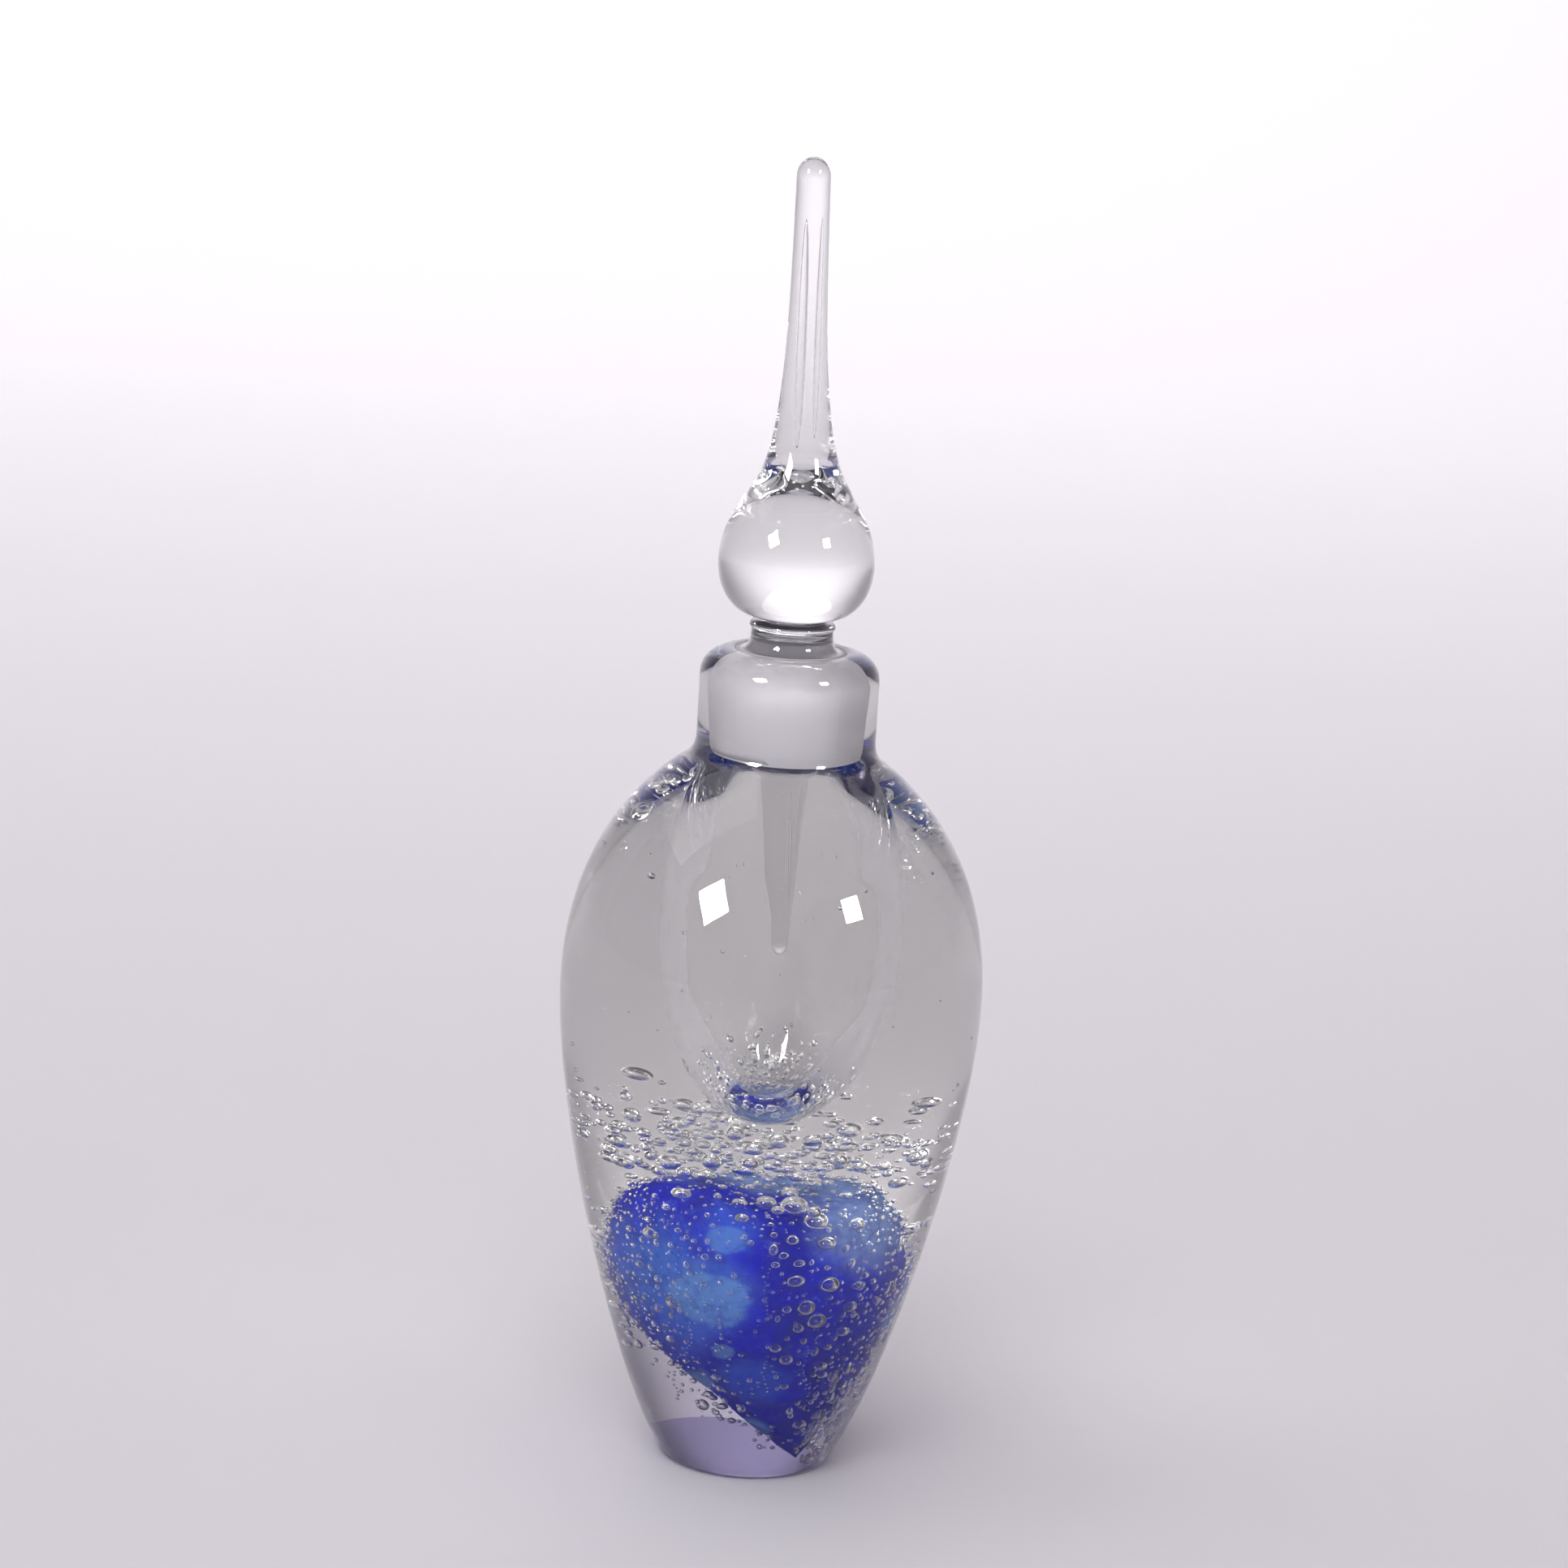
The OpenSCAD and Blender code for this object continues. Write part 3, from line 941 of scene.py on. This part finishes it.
def add_camera():
    data = bpy.data.cameras.new("camera")
    data.lens = LENS
    data.sensor_width = SENSOR
    away = Vector((0, -math.cos(CAMERA_RISE), math.sin(CAMERA_RISE)))
    turn = (-away).to_track_quat("-Z", "Y").to_matrix().to_4x4()
    camera = bpy.data.objects.new("camera", data)
    bpy.context.scene.collection.objects.link(camera)
    place = Matrix.Translation(CAMERA_AIM + CAMERA_AWAY * away)
    camera.matrix_world = place @ turn @ Matrix.Rotation(CAMERA_ROLL, 4, "Z")
    bpy.context.scene.camera = camera


FLOOR_SIZE = 10
FLOOR_Y = -3.9              # of its middle, so that its far edge is at 1.1
FLOOR_Z = -0.1 * MM         # just clear of the foot
SWEEP_R = 0.9
SWEEP_TOP = 3.0


def add_floor():
    """A pale matt floor that sweeps up well behind the bottle."""
    deselect()
    bpy.ops.mesh.primitive_plane_add(size=FLOOR_SIZE, location=(0, FLOOR_Y, FLOOR_Z))
    floor = bpy.context.object
    floor.name = "floor"
    bpy.ops.object.transform_apply(location=True, rotation=False, scale=False)
    pick(floor, lambda place: place.y * MM > 1)
    turns = [math.radians(a) for a in range(0, 91, 5)]
    rise = [(SWEEP_R * math.sin(t), SWEEP_R * (1 - math.cos(t))) for t in turns]
    rise.append((SWEEP_R, SWEEP_TOP))
    for here, there in zip(rise, rise[1:]):
        bpy.ops.mesh.extrude_edges_move(
            TRANSFORM_OT_translate={"value": (0, there[0] - here[0], there[1] - here[1])})
    bpy.ops.object.mode_set(mode="OBJECT")
    bpy.ops.object.shade_smooth()
    made, tree = new_material("pale_floor")
    output(tree, node(tree, "ShaderNodeBsdfPrincipled", None, Base_Color=linear("#dcd8dd"),
                      Roughness=0.7))
    floor.data.materials.append(made)


def add_light(name, place, size, power, aim=(0, 0, 0.08), spin=0, spread=180):
    """A rectangular soft light that points at aim, with spin and spread in degrees."""
    data = bpy.data.lights.new(name, "AREA")
    data.shape = "RECTANGLE"
    data.size, data.size_y = size
    data.energy = power
    data.spread = math.radians(spread)
    light = bpy.data.objects.new(name, data)
    bpy.context.scene.collection.objects.link(light)
    turn = (Vector(place) - Vector(aim)).to_track_quat("Z", "Y").to_matrix().to_4x4()
    light.matrix_world = Matrix.Translation(place) @ turn @ Matrix.Rotation(math.radians(spin), 4, "Z")
    return light


def add_sky():
    """A very wide soft sun that evens out the floor and isn't seen in or through the glass."""
    data = bpy.data.lights.new("soft_sky", "SUN")
    data.energy = 0.85
    data.angle = math.radians(70)
    sky = bpy.data.objects.new("soft_sky", data)
    sky.rotation_euler = (math.radians(14), math.radians(-10), 0)
    sky.visible_glossy = False
    sky.visible_transmission = False
    bpy.context.scene.collection.objects.link(sky)


def add_lights():
    # two windows, which the glass mirrors as small bright panes and which light nothing matt
    for window in (
        add_light("window_left", (-0.60, -0.70, 0.62), (0.26, 0.28), 18, spin=38),
        add_light("window_right", (0.72, -0.62, 0.60), (0.19, 0.18), 11),
    ):
        window.visible_diffuse = False
    soft_front = add_light("soft_front", (-0.2, -1.1, 1.3), (1.0, 0.8), 2.1, aim=(0, 0.1, 0), spread=75)
    soft_front.visible_glossy = False
    add_light("soft_top", (-0.9, 0.2, 1.4), (1.2, 1.2), 3.6, aim=(-0.25, 0.2, 0))
    # lights the sweep, which is what shows through the glass
    add_light("soft_sweep", (-0.3, 1.15, 2.4), (1.4, 0.6), 19, aim=(-0.15, 2.0, 0.6), spread=100)
    add_sky()


def add_world():
    """A pale room: light along the horizon, dimmer overhead, at the sides and behind the camera."""
    world = bpy.data.worlds.new("studio")
    bpy.context.scene.world = world
    world.use_nodes = True
    tree = world.node_tree
    tree.nodes.clear()
    way = node(tree, "ShaderNodeTexCoord").outputs["Generated"]
    split = node(tree, "ShaderNodeSeparateXYZ", None, Vector=way).outputs
    tone = blend(tree, ramp(tree, split["Z"], 0.0, 0.5), linear("#cbc7cc"), linear("#858187"))
    back = ramp(tree, split["Y"], -1.0, 0.3, 0.68, 0.85, "LINEAR")
    aside = ramp(tree, maths(tree, "ABSOLUTE", split["X"]), 0.3, 0.8, 1.0, 0.75)
    glow = node(tree, "ShaderNodeBackground", None, Color=tone,
                Strength=maths(tree, "MULTIPLY", back, aside))
    out = tree.nodes.new("ShaderNodeOutputWorld")
    tree.links.new(glow.outputs[0], out.inputs["Surface"])


# ---------------------------------------------------------------- the scene

add_camera()
add_world()
add_floor()
add_lights()

bottle_glass()
stopper_glass()
CORE = blue_core()
foot_shade_veil()
bubbles("large_bubbles", "bottle", 3, large_bubbles(CORE))
bubbles("cloud_bubbles", "bottle", 3, cloud_bubbles())
bubbles("foot_bubbles", "bottle", 2, foot_bubbles())
bubbles("chain_bubbles", "bottle", 1, chain_bubbles(CORE))
bubbles("edge_bubbles", "bottle", 2, edge_bubbles(CORE))
bubbles("skin_bubbles", "bottle", 2, skin_bubbles(CORE))
bubbles("stray_bubbles", "bottle", 2, stray_bubbles())
bubbles("spire_bubbles", "stopper", 3, spire_bubbles())

scene = bpy.context.scene
scene.cycles.max_bounces = 32
scene.cycles.transmission_bounces = 32
scene.cycles.transparent_max_bounces = 64
scene.cycles.glossy_bounces = 16
scene.cycles.sample_clamp_indirect = 50
scene.view_settings.view_transform = "Standard"

bpy.context.view_layer.update()
